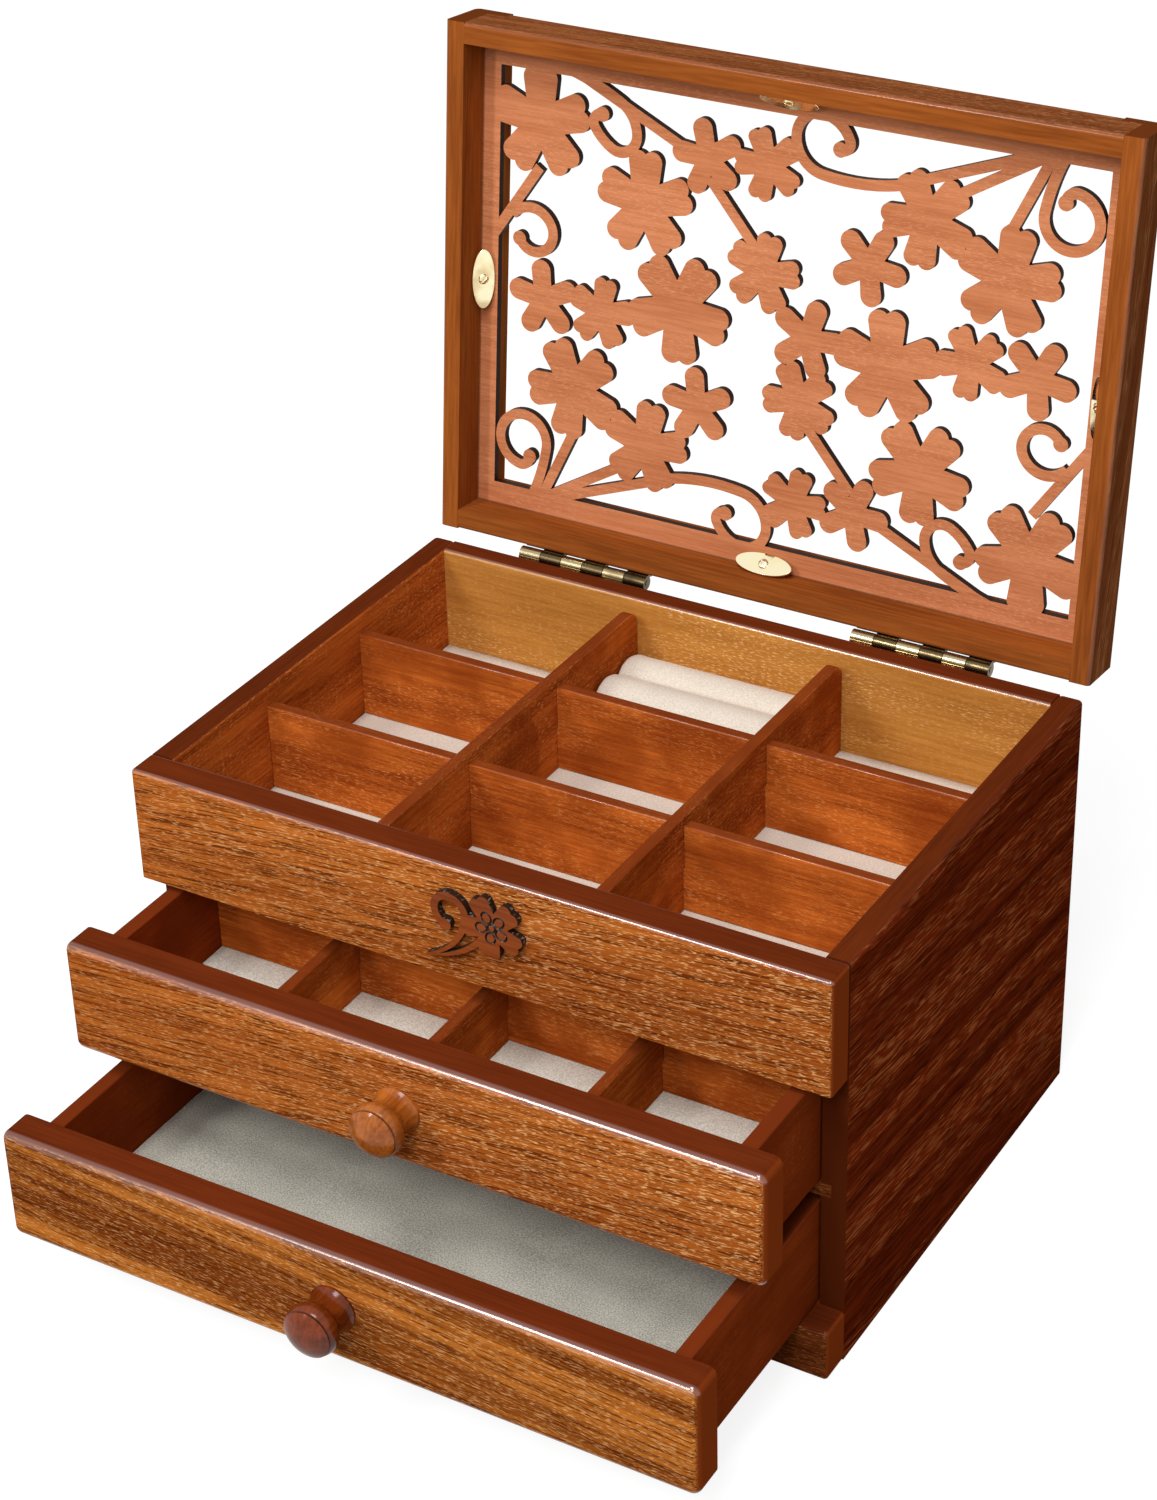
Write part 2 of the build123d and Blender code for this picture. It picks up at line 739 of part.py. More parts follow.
def lid_pieces():
    stiles = [lid_stile(-1), lid_stile(1)]
    pieces = {
        "lid_left_stile": stiles[0],
        "lid_right_stile": stiles[1],
        "lid_front_rail": lid_rail(-1, stiles),
        "lid_back_rail": lid_rail(1, stiles),
        "fretwork_panel": fretwork_panel(),
    }
    holders = {
        "left": "lid_left_stile",
        "right": "lid_right_stile",
        "front": "lid_front_rail",
        "back": "lid_back_rail",
    }
    clip_screws, hinge_screws = [], []
    for side, frame in clip_frames().items():
        seat = clip_seat(frame)
        pieces["clip_" + side] = clip(frame)
        pieces[holders[side]] -= screw_hole(seat)
        pieces["fretwork_panel"] -= screw_hole(seat)
        clip_screws.append(screw(seat))
    for hand, side in ((-1, "left"), (1, "right")):
        centre = hand * hinge_offset
        pieces["hinge_" + side + "_lid_leaf"] = hinge_leaf(centre, 1)
        for seat in hinge_screw_seats(centre, 1):
            pieces["lid_back_rail"] -= screw_hole(seat)
            hinge_screws.append(screw(seat))
    pieces["clip_screws"] = Compound(children=clip_screws)
    pieces["lid_hinge_screws"] = Compound(children=hinge_screws)
    hinge = Axis((0, hinge_y, hinge_z), (1, 0, 0))
    return {name: shape.rotate(hinge, -open_angle) for name, shape in pieces.items()}


pieces = case_pieces()
pieces.update(lid_pieces())
pieces.update(drawer("upper_drawer", upper_front_bottom, upper_pull, True))
pieces.update(drawer("lower_drawer", lower_front_bottom, lower_pull, False))

os.makedirs("parts", exist_ok=True)
for name, shape in pieces.items():
    export_step(shape, "parts/" + name + ".step")
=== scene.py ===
import json
from math import cos, pi, radians, sin

import bmesh
import bpy
from mathutils import Matrix, Vector


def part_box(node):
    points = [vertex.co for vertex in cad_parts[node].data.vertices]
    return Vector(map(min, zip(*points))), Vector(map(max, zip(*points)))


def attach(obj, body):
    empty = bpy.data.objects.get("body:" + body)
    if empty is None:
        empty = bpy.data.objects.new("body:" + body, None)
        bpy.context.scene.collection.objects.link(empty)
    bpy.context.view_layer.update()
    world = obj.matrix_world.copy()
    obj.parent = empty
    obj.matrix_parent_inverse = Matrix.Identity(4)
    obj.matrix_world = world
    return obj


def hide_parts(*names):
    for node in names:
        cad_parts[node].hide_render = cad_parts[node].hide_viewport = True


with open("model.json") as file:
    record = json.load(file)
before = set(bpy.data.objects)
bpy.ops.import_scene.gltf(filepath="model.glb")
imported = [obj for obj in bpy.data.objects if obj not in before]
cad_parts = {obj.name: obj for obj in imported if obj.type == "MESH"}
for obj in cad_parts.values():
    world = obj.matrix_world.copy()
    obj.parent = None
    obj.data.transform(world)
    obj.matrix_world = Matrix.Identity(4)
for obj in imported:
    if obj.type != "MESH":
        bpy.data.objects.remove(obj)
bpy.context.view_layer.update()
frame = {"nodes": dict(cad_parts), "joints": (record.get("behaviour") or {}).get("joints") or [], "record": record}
scene = bpy.context.scene
scene.view_settings.view_transform = "Standard"
mm = 0.001
print("frame loaded:", len(frame["nodes"]), "nodes")


def tone(red, green, blue):  # a colour as a paint shop gives it, 0 to 255, made linear
    shares = [value / 255 for value in (red, green, blue)]
    return tuple(s / 12.92 if s <= 0.04045 else ((s + 0.055) / 1.055) ** 2.4 for s in shares) + (1.0,)


class Link:  # a socket that takes part in sums
    def __init__(self, maker, socket):
        self.maker = maker
        self.socket = socket

    def math(self, operation, first, second):
        return self.maker.add("Math", {"operation": operation}, {0: first, 1: second})

    def __add__(self, other):
        return self.math("ADD", self, other)

    def __radd__(self, other):
        return self.math("ADD", other, self)

    def __sub__(self, other):
        return self.math("SUBTRACT", self, other)

    def __rsub__(self, other):
        return self.math("SUBTRACT", other, self)

    def __mul__(self, other):
        return self.math("MULTIPLY", self, other)

    def __rmul__(self, other):
        return self.math("MULTIPLY", other, self)

    def __gt__(self, other):
        return self.math("GREATER_THAN", self, other)

    def __lt__(self, other):
        return self.math("LESS_THAN", self, other)

    def __abs__(self):
        return self.math("ABSOLUTE", self, 0.0)

    def least(self, other):
        return self.math("MINIMUM", self, other)


class Maker:  # makes the nodes of one tree
    def __init__(self, tree, family=""):
        self.tree = tree
        self.family = family

    def put(self, socket, value):
        if isinstance(value, Link):
            self.tree.links.new(value.socket, socket)
        else:
            socket.default_value = value

    def add(self, kind, settings=None, sockets=None, out=0):
        node = self.tree.nodes.new(self.family + kind)
        for key, value in (settings or {}).items():
            setattr(node, key, value)
        for key, value in (sockets or {}).items():
            self.put(node.inputs[key], value)
        return Link(self, node.outputs[out])


class Finish(Maker):
    def __init__(self, owner, constants, shader="BsdfPrincipled", output="OutputMaterial"):
        owner.use_nodes = True
        super().__init__(owner.node_tree, "ShaderNode")
        self.owner = owner
        self.tree.nodes.clear()
        self.shader = self.tree.nodes.new(self.family + shader)
        self.output = self.tree.nodes.new(self.family + output)
        self.put(self.output.inputs[0], Link(self, self.shader.outputs[0]))
        for socket, value in constants.items():
            self.put(self.shader.inputs[socket], value)

    def place(self, turn=0.0):  # object coordinates, turned about X for pieces of the open lid
        return self.turned(self.add("TexCoord", out="Object"), turn)

    def facing(self, turn=0.0):
        return self.parts(self.turned(self.add("TexCoord", out="Normal"), turn))

    def turned(self, vector, turn):
        if not turn:
            return vector
        return self.add("VectorRotate", {"rotation_type": "X_AXIS"}, {"Vector": vector, "Angle": turn})

    def parts(self, vector):
        return [self.add("SeparateXYZ", None, {0: vector}, out) for out in range(3)]

    def vector(self, operation, first, second):
        return self.add("VectorMath", {"operation": operation}, {0: first, 1: second})

    def noise(self, spot, scale, detail=2.0, rough=0.5, out=0):
        stretched = self.vector("MULTIPLY", spot, scale)
        sockets = {"Vector": stretched, "Scale": 1.0, "Detail": detail, "Roughness": rough}
        return self.add("TexNoise", None, sockets, out)

    def ease(self, value, low, high, first=0.0, last=1.0):
        sockets = {0: value, 1: low, 2: high, 3: first, 4: last}
        return self.add("MapRange", {"interpolation_type": "SMOOTHSTEP"}, sockets)

    def mix(self, share, first, second):
        settings = {"data_type": "RGBA", "clamp_factor": True}
        return self.add("Mix", settings, {0: share, 6: first, 7: second}, 2)

    def seen(self):  # the rays that look at the stage rather than light the box
        kinds = ("Camera", "Glossy", "Transmission")
        rays = [self.add("LightPath", out="Is " + kind + " Ray") for kind in kinds]
        return (rays[0] + rays[1] + rays[2]) > 0.5

    def close(self, colour, rough, height, depth, strength):
        sockets = {"Strength": strength, "Distance": depth, "Height": height}
        self.put(self.shader.inputs["Base Color"], colour)
        self.put(self.shader.inputs["Roughness"], rough)
        self.put(self.shader.inputs["Normal"], self.add("Bump", None, sockets))
        return self.owner


def material(name, constants):
    return Finish(bpy.data.materials.new(name), constants)


lidJoint = next(joint for joint in frame["joints"] if joint["name"] == "lid_hinge")
lidTurn = -radians(lidJoint["range_deg"][0])  # the lid is drawn open, its finishes along its own boards


def stretch(axis, along, across):
    return (along, across, across) if axis == "x" else (across, along, across)


swayScale = (5, 24)
speckSoft = 0.1  # how softly a pore or a fleck begins
reliefShares = {"thread": 0.3, "fleck": 0.5}  # of a pore's depth


def openGrain(finish, spot, look):
    # bands and streaks that sway a little, dark lines along them, and pale flecks that crowd in the bands; the
    # pale flecks are painted glints, light caught on the lips of the pores
    axis = look["axis"]
    sockets = {"Vector": spot, "Axis": look["slantAbout"], "Angle": radians(look["slant"])}
    spot = finish.add("VectorRotate", {"rotation_type": "AXIS_ANGLE"}, sockets)
    sway = finish.noise(spot, stretch(axis, *swayScale), detail=1.0, out="Color")
    sway = finish.vector("SUBTRACT", sway, (0.5, 0.5, 0.5))
    line = finish.vector("ADD", spot, finish.vector("MULTIPLY", sway, (look["sway"],) * 3))
    band = finish.ease(finish.noise(line, stretch(axis, *look["figure"])), 0.4, 0.6)
    thread = finish.noise(line, stretch(axis, *look["streak"]), detail=3.0, rough=0.6)
    thread = finish.ease(thread, 0.36, 0.64)
    pore = finish.noise(line, stretch(axis, *look["pore"]), detail=1.0)
    hole = finish.ease(pore, look["poreFrom"], look["poreFrom"] + speckSoft)
    # painted glints: pale flecks set just beside the pores, standing in for light caught on their lips
    beside = finish.vector("ADD", line, look["fleckStep"])
    fleck = finish.noise(beside, stretch(axis, *look["fleck"]), detail=1.0)
    paintedGlint = finish.ease(fleck, look["fleckFrom"], look["fleckFrom"] + speckSoft)
    paintedGlint = paintedGlint * (look["fleckBase"] + (1.0 - look["fleckBase"]) * band)
    # painted highlight: the glints grow stronger towards +x, where the light catches the face more
    paintedGlint = paintedGlint * (1.0 + look["paintedGlintRise"] * finish.parts(spot)[0])
    share = band * look["bandShare"] + thread * (1.0 - look["bandShare"])
    colour = finish.mix(share, look["dark"], look["light"])
    colour = finish.mix(hole * look["poreShare"], colour, look["hole"])
    colour = finish.mix(paintedGlint * look["fleckShare"], colour, look["pale"])
    return colour, thread * reliefShares["thread"] + paintedGlint * reliefShares["fleck"] - hole


fineScales = {"figure": (8, 70), "thread": (45, 900), "crowd": (14, 60), "dash": (420, 2000)}


def fineGrain(finish, spot, axis, look):
    figure = finish.noise(spot, stretch(axis, *fineScales["figure"]), detail=3.0, rough=0.55)
    thread = finish.noise(spot, stretch(axis, *fineScales["thread"]), detail=3.0, rough=0.6)
    share = finish.ease(figure, 0.3, 0.7) * 0.5 + finish.ease(thread, 0.3, 0.7) * 0.5
    colour = finish.mix(share, look["dark"], look["light"])
    if "pale" in look:  # short pale dashes that crowd together here and there
        crowd = finish.noise(spot, stretch(axis, *fineScales["crowd"]))
        crowd = finish.ease(crowd, 0.38, 0.62, 0.2, 1.0)
        dash = finish.noise(spot, stretch(axis, *fineScales["dash"]), detail=1.0)
        dash = finish.ease(dash, 0.54, 0.66)
        colour = finish.mix(dash * crowd * look["paleShare"], colour, look["pale"])
        thread = thread + dash * 0.4
    return colour, thread


frontGrain = {
    "axis": "x",
    "facing": 1,
    "slantAbout": (0.0, 1.0, 0.0),
    "slant": 4.5,
    "light": tone(190, 106, 40),
    "dark": tone(138, 65, 20),
    "hole": tone(84, 33, 9),
    "pale": tone(238, 180, 118),
    "figure": (3, 60),
    "streak": (10, 560),
    "pore": (40, 1400),
    "fleck": (360, 2300),
    "sway": 0.005,
    "fleckStep": (0.0, 0.0004, 0.0004),
    "poreFrom": 0.54,
    "fleckFrom": 0.55,
    "fleckBase": 0.7,
    "paintedGlintRise": 3.0,
    "bandShare": 0.35,
    "poreShare": 0.8,
    "fleckShare": 0.65,
    "edge": 0.8,
}
sideGrain = {
    "axis": "y",
    "facing": 0,
    "slantAbout": (1.0, 0.0, 0.0),
    "slant": 5.0,
    "light": tone(128, 46, 15),
    "dark": tone(85, 25, 6),
    "hole": tone(52, 14, 3),
    "pale": tone(178, 102, 55),
    "figure": (2, 125),
    "streak": (5, 330),
    "pore": (60, 1200),
    "fleck": (100, 1500),
    "sway": 0.006,
    "fleckStep": (0.0004, 0.0, 0.0004),
    "poreFrom": 0.54,
    "fleckFrom": 0.52,
    "fleckBase": 0.08,
    "paintedGlintRise": 0.0,
    "bandShare": 0.5,
    "poreShare": 0.6,
    "fleckShare": 0.6,
    "edge": 0.03,
}
lidTones = {
    "light": tone(147, 85, 46),
    "dark": tone(120, 63, 32),
    "hole": tone(90, 42, 18),
    "pale": tone(188, 128, 84),
    "edge": 0.2,
    "fleckShare": 0.5,
    "poreShare": 0.5,
}
stripeTones = {
    "light": tone(188, 110, 40),
    "dark": tone(108, 48, 13),
    "slant": -3.5,
    "figure": (2.2, 125),
    "bandShare": 0.75,
    "paintedGlintRise": 0.0,
    "fleckShare": 0.5,
}
# the front walnut painted darker, as painted shade, for the base rail under the drawers and the shelf's edge
# between them
shadedBaseTones = {"light": tone(118, 58, 24), "dark": tone(88, 38, 13), "pale": tone(156, 96, 52), "edge": 0.1}
rimLooks = {
    "case": {"light": tone(110, 46, 18), "dark": tone(88, 35, 13), "end": tone(132, 57, 20)},
    "side": {"light": tone(106, 45, 17), "dark": tone(86, 35, 13), "end": tone(86, 35, 12)},
    "lid": {"light": tone(164, 90, 37), "dark": tone(120, 60, 23), "end": tone(108, 53, 22)},
}
innerLook = {
    "light": tone(208, 109, 40),
    "dark": tone(132, 54, 15),
    "pale": tone(236, 160, 92),
    "paleShare": 0.5,
}
drawerLook = {
    "light": tone(140, 58, 20),
    "dark": tone(112, 42, 12),
    "pale": tone(180, 98, 44),
    "paleShare": 0.2,
}
tanLook = {
    "light": tone(200, 136, 62),
    "dark": tone(166, 104, 42),
    "pale": tone(246, 200, 136),
    "paleShare": 0.55,
}
edgeGloss = {"Specular IOR Level": 0.0, "Coat IOR": 2.0, "Coat Roughness": 0.19}
edgeLean = (0.08, 0.4)  # how far a face leans over before it counts as a rounded edge


def glossEdges(finish, out, up, share):
    rounded = finish.ease(out, *edgeLean) * finish.ease(up, *edgeLean)
    finish.put(finish.shader.inputs["Coat Weight"], rounded * share)


def walnut(name, look, rimLook, inner, turn=0.0, middle=0.0):
    # open grain on the faces turned away from the middle, plain boards inside and along the rims
    finish = material(name, edgeGloss)
    spot = finish.place(turn)
    colour, height = openGrain(finish, spot, look)
    plain, thread = fineGrain(finish, spot, look["axis"], rimLook)
    normal = finish.facing(turn)
    out, end, up = [abs(normal[k]) for k in (look["facing"], 1 - look["facing"], 2)]
    away = finish.parts(spot)[look["facing"]] - middle
    inside = (away * normal[look["facing"]]) < 0.0
    colour = finish.mix(inside, colour, fineGrain(finish, spot, look["axis"], inner)[0])
    rim = 1.0 - finish.ease(out, 0.55, 0.9)
    plain = finish.mix(finish.ease(end, 0.4, 0.8), plain, rimLook["end"])
    colour = finish.mix(rim, colour, plain)
    glossEdges(finish, out, up, look["edge"])
    height = height * (1.0 - rim) * (1.0 - inside) + thread * 0.1
    return finish.close(colour, rough=0.5, height=height, depth=0.25 * mm, strength=0.7)


boardShade = (30, 30, 30)


def plainBoard(name, look, axis, edge):
    finish = material(name, edgeGloss)
    spot = finish.place()
    colour, thread = fineGrain(finish, spot, axis, look)
    shade = finish.noise(spot, boardShade, detail=3.0, rough=0.55)
    colour = finish.mix(finish.ease(shade, 0.4, 0.62, 0.0, 0.6), colour, look["dark"])
    x, y, z = [abs(part) for part in finish.facing()]
    colour = finish.mix(finish.ease(z, 0.5, 0.9, 0.0, 0.8), colour, rimLooks["case"]["light"])
    glossEdges(finish, y if axis == "x" else x, z, edge)
    return finish.close(colour, rough=0.5, height=thread, depth=0.14 * mm, strength=0.4)


fretLook = {
    "light": tone(212, 136, 93),
    "dark": tone(178, 104, 64),
    "pale": tone(226, 160, 118),
    "paleShare": 0.4,
    "burnt": tone(40, 20, 11),
    # the width and the darkness of the painted shadow line along the panel's outer sides
    "border": (0.4 * mm, 0.9 * mm),
    "borderShare": 0.6,
}


def sawnBoard(name, look, turn):
    finish = material(name, {"Specular IOR Level": 0.05})
    spot = finish.place(turn)
    colour, thread = fineGrain(finish, spot, "x", look)
    edge = 1.0 - finish.ease(abs(finish.facing(turn)[2]), 0.3, 0.7)
    panel = bpy.data.objects["fretwork_panel"].data
    flat = [Matrix.Rotation(turn, 3, "X") @ vert.co for vert in panel.vertices]
    gaps = []  # how far in from the panel's four sides a point lies
    for k, place in enumerate(finish.parts(spot)[:2]):
        low, high = min(point[k] for point in flat), max(point[k] for point in flat)
        gaps.append((high - low) / 2 - abs(place - (high + low) / 2))
    # painted shadow: a dark line along the panel's outer sides, where it sits against the lid's rails, in the
    # burnt tone
    border = finish.ease(gaps[0].least(gaps[1]), *look["border"], look["borderShare"], 0.0)
    colour = finish.mix(border, colour, look["burnt"])
    colour = finish.mix(edge, colour, look["burnt"])
    return finish.close(colour, rough=0.62 - 0.1 * edge, height=thread, depth=0.1 * mm, strength=0.4)


ornamentLook = {
    "light": tone(150, 74, 30),
    "dark": tone(108, 47, 16),
    "burnt": tone(38, 24, 17),
    "ash": tone(176, 164, 154),
    "fleck": (900, 500, 900),
}


def carvedFace(name, look):
    finish = material(name, {"Coat Weight": 0.12, "Coat Roughness": 0.3, "Specular IOR Level": 0.1})
    spot = finish.place()
    colour, thread = fineGrain(finish, spot, "x", look)
    edge = 1.0 - finish.ease(abs(finish.facing()[1]), 0.75, 0.95)
    fleck = finish.ease(finish.noise(spot, look["fleck"], detail=3.0, rough=0.6), 0.56, 0.68)
    burnt = finish.mix(fleck * 0.5, look["burnt"], look["ash"])
    colour = finish.mix(edge, colour, burnt)
    return finish.close(colour, rough=0.5, height=thread + fleck * edge, depth=0.2 * mm, strength=0.5)


knobLook = {
    "upper": {"light": tone(184, 104, 38), "dark": tone(128, 62, 16)},
    "lower": {"light": tone(128, 54, 14), "dark": tone(76, 27, 4)},
    # turned: the dark tone painted into the groove ring as its shade
    "turned": tone(46, 18, 6),
    "grooveAt": 3.75 * mm,  # behind the tip of the dome
    "grooveHalf": (0.2 * mm, 0.5 * mm),
    "figure": (160, 40, 160),
    "thread": (900, 120, 500),
}


def lacquer(name, look, level):
    finish = material(name, {
        "Coat Weight": 0.6,
        "Coat IOR": 1.5,
        "Coat Roughness": 0.16,
        "Specular IOR Level": 0.0,
    })
    spot = finish.place()
    figure = finish.noise(spot, look["figure"], detail=3.0, rough=0.6)
    thread = finish.noise(spot, look["thread"], detail=3.0, rough=0.6)
    share = finish.ease(figure, 0.3, 0.7) * 0.6 + finish.ease(thread, 0.35, 0.65) * 0.4
    colour = finish.mix(share, look[level]["dark"], look[level]["light"])
    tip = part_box(level + "_drawer_knob")[0].y
    # painted shade: the groove ring behind the dome is darkened to stand in for the shadow in the groove
    off = abs(finish.parts(spot)[1] - (tip + look["grooveAt"]))
    colour = finish.mix(finish.ease(off, *look["grooveHalf"], 0.6, 0.0), colour, look["turned"])
    return finish.close(colour, rough=0.4 + 0.08 * thread, height=thread, depth=0.08 * mm, strength=0.3)


velvetScales = {"nap": (60, 60, 60), "pile": (1700, 1700, 1700)}
velvetLooks = {
    "tray": {"pile": tone(228, 218, 204), "shade": tone(202, 191, 176), "sheen": tone(245, 240, 232)},
    # upper and lower are one drawer velvet, painted lighter for the upper drawer as painted light and darker for
    # the lower as painted shade
    "upper": {"pile": tone(244, 238, 224), "shade": tone(196, 190, 176), "sheen": tone(240, 236, 226)},
    "lower": {"pile": tone(222, 218, 204), "shade": tone(148, 145, 133), "sheen": tone(226, 224, 214)},
}


def velvet(name, look):
    finish = material(name, {
        "Sheen Weight": 0.25,
        "Sheen Roughness": 0.45,
        "Sheen Tint": look["sheen"],
        "Specular IOR Level": 0.1,
    })
    spot = finish.place()
    nap = finish.noise(spot, velvetScales["nap"], detail=3.0, rough=0.55)
    pile = finish.noise(spot, velvetScales["pile"], rough=0.6)
    share = finish.ease(nap, 0.3, 0.7) * 0.15 + finish.ease(pile, 0.3, 0.7) * 0.85
    colour = finish.mix(share, look["shade"], look["pile"])
    return finish.close(colour, rough=0.95, height=pile, depth=0.2 * mm, strength=0.5)


brassScales = {"cloud": (90, 90, 90), "scratch": (220, 2600, 2600)}
brassLooks = {
    # antique and shaded are one hinge brass: antique is painted lighter as painted light on the case leaves'
    # knuckles, shaded is painted darker as painted shade on the lid leaves' knuckles, the pins and the lid's
    # screws
    "antique": {"metal": tone(176, 162, 126), "worn": tone(138, 122, 90), "rough": 0.2},
    "shaded": {"metal": tone(100, 86, 60), "worn": tone(50, 40, 28), "rough": 0.22},
    "polished": {"metal": tone(250, 238, 198), "worn": tone(236, 212, 152), "rough": 0.1},
}


def brass(name, look):
    finish = material(name, {"Metallic": 1.0})
    spot = finish.place()
    cloud = finish.noise(spot, brassScales["cloud"])
    scratch = finish.noise(spot, brassScales["scratch"])
    share = finish.ease(cloud, 0.4, 0.75)
    colour = finish.mix(share, look["metal"], look["worn"])
    rough = look["rough"] + 0.2 * share + 0.1 * (scratch - 0.5)
    return finish.close(colour, rough, height=scratch, depth=0.02 * mm, strength=0.15)


lidMiddle = (Matrix.Rotation(lidTurn, 3, "X") @ (sum(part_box("fretwork_panel"), Vector()) / 2)).y
lidRail, lidStile = {**frontGrain, **lidTones}, {**sideGrain, **lidTones}
recipes = {
    "walnutFront": (walnut, frontGrain, rimLooks["case"], innerLook),
    "walnutStriped": (walnut, {**frontGrain, **stripeTones}, rimLooks["case"], innerLook),
    "walnutBase": (walnut, {**frontGrain, **shadedBaseTones}, rimLooks["case"], innerLook),
    "walnutBack": (walnut, frontGrain, rimLooks["case"], tanLook),
    "walnutSide": (walnut, sideGrain, rimLooks["side"], innerLook),
    "walnutLidRail": (walnut, lidRail, rimLooks["lid"], rimLooks["lid"], lidTurn, lidMiddle),
    "walnutLidStile": (walnut, lidStile, rimLooks["lid"], rimLooks["lid"], lidTurn),
    "innerAcross": (plainBoard, innerLook, "x", 0.3),
    "innerAlong": (plainBoard, innerLook, "y", 0.1),
    "drawerAlong": (plainBoard, drawerLook, "y", 0.04),
    "fretwork": (sawnBoard, fretLook, lidTurn),
    "carvedOrnament": (carvedFace, ornamentLook),
    "upperLacquer": (lacquer, knobLook, "upper"),
    "lowerLacquer": (lacquer, knobLook, "lower"),
    "trayVelvet": (velvet, velvetLooks["tray"]),
    "upperVelvet": (velvet, velvetLooks["upper"]),
    "lowerVelvet": (velvet, velvetLooks["lower"]),
    "antiqueBrass": (brass, brassLooks["antique"]),
    "shadedBrass": (brass, brassLooks["shaded"]),
    "polishedBrass": (brass, brassLooks["polished"]),
}
finishes = {name: make(name, *looks) for name, (make, *looks) in recipes.items()}
print("finishes:", len(finishes))

nodeFinishes = {
    "walnutFront": ["front_panel", "upper_drawer_front"],
    "walnutStriped": ["lower_drawer_front"],
    # painted shade: parts in the shadow under and between the drawers
    "walnutBase": ["base_rail", "drawer_shelf"],
    "walnutBack": ["back_panel"],
    "walnutSide": ["side_left", "side_right"],
    "walnutLidRail": ["lid_front_rail", "lid_back_rail"],
    "walnutLidStile": ["lid_left_stile", "lid_right_stile"],
    "innerAcross": [
        "tray_cross_front", "tray_cross_rear", "tray_floor", "base_board",
        "upper_drawer_back", "upper_drawer_cross_front", "upper_drawer_cross_rear", "upper_drawer_bottom",
        "lower_drawer_back", "lower_drawer_bottom",
    ],
    "innerAlong": [
        "tray_divider_left", "tray_divider_right", "runner_left", "runner_right",
        "upper_drawer_divider_left", "upper_drawer_divider_middle", "upper_drawer_divider_right",
    ],
    "drawerAlong": [
        "upper_drawer_left_side", "upper_drawer_right_side",
        "lower_drawer_left_side", "lower_drawer_right_side",
    ],
    "fretwork": ["fretwork_panel"],
    "carvedOrnament": ["front_ornament"],
    "upperLacquer": ["upper_drawer_knob"],
    "lowerLacquer": ["lower_drawer_knob"],
    "trayVelvet": ["tray_lining", "ring_roll_pad"],
    "upperVelvet": ["upper_drawer_lining"],
    "lowerVelvet": ["lower_drawer_lining"],
    # painted light on the case leaves and their screws; the next list is painted shade
    "antiqueBrass": ["hinge_left_case_leaf", "hinge_right_case_leaf", "case_hinge_screws"],
    "shadedBrass": [
        "hinge_left_lid_leaf", "hinge_right_lid_leaf", "hinge_left_pin", "hinge_right_pin",
        "lid_hinge_screws",
    ],
    "polishedBrass": ["clip_left", "clip_right", "clip_front", "clip_back", "clip_screws"],
}


def dress(piece, finishName):
    piece.data.materials.clear()
    piece.data.materials.append(finishes[finishName])


for finishName, nodeNames in nodeFinishes.items():
    for nodeName in nodeNames:
        dress(bpy.data.objects[nodeName], finishName)

bodyOf = {node: body for body, nodes in frame["record"]["behaviour"]["bodies"].items() for node in nodes}
finishOf = {nodeName: finishName for finishName, names in nodeFinishes.items() for nodeName in names}


def newPiece(name, mesh):
    piece = bpy.data.objects.new(name, mesh)
    scene.collection.objects.link(piece)
    return piece


def pieceFrom(name, work):
    mesh = bpy.data.meshes.new(name)
    work.to_mesh(mesh)
    work.free()
    return newPiece(name, mesh)


def settle(piece, nodeName):  # the piece takes over a node's finish, slot and body
    dress(piece, finishOf[nodeName])
    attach(piece, bodyOf[nodeName])
    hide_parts(nodeName)


def baked(piece):  # the mesh that a piece's modifiers give
    graph = bpy.context.evaluated_depsgraph_get()
    mesh = bpy.data.meshes.new_from_object(piece.evaluated_get(graph))
    piece.modifiers.clear()
    piece.data = mesh
    return mesh


def carve(piece, name, work, crossing=False):  # crossing is for a tool whose own parts cross
    tool = pieceFrom(name, work)
    cut = piece.modifiers.new(name, "BOOLEAN")
    cut.operation = "DIFFERENCE"
    cut.use_self = crossing
    cut.object = tool
    baked(piece)
    bpy.data.objects.remove(tool)


def cleaned(nodeName):  # a node's mesh with its triangles joined into flat faces
    work = bmesh.new()
    work.from_mesh(bpy.data.objects[nodeName].data)
    bmesh.ops.remove_doubles(work, verts=work.verts, dist=1e-6)
    bmesh.ops.dissolve_limit(work, angle_limit=radians(0.3), verts=work.verts, edges=work.edges)
    return work


easedBoards = {
    "sharp": radians(35),
    "flatArea": 4e-5,
    "ease": {
        0.5 * mm: [
            "tray_cross_front", "tray_cross_rear", "tray_divider_left", "tray_divider_right",
            "upper_drawer_left_side", "upper_drawer_right_side", "upper_drawer_back",
            "upper_drawer_cross_front", "upper_drawer_cross_rear", "upper_drawer_divider_left",
            "upper_drawer_divider_middle", "upper_drawer_divider_right", "lower_drawer_left_side",
            "lower_drawer_right_side", "lower_drawer_back", "drawer_shelf",
        ],
        0.6 * mm: ["lid_front_rail", "lid_back_rail", "lid_left_stile", "lid_right_stile"],
        0.25 * mm: ["clip_left", "clip_right", "clip_front", "clip_back"],
    },
}


def easedBoard(nodeName, ease, look):
    work = cleaned(nodeName)
    before = work.calc_volume()
    corners = [e for e in work.edges if e.is_manifold and e.calc_face_angle(0.0) > look["sharp"]]
    bmesh.ops.bevel(
        work, geom=corners, offset=ease, offset_type="OFFSET", segments=2, profile=0.5,
        affect="EDGES", clamp_overlap=True,
    )
    for face in work.faces:
        face.smooth = face.calc_area() < look["flatArea"]
    kept = work.calc_volume() / before
    settle(pieceFrom(nodeName + "_eased", work), nodeName)
    return kept


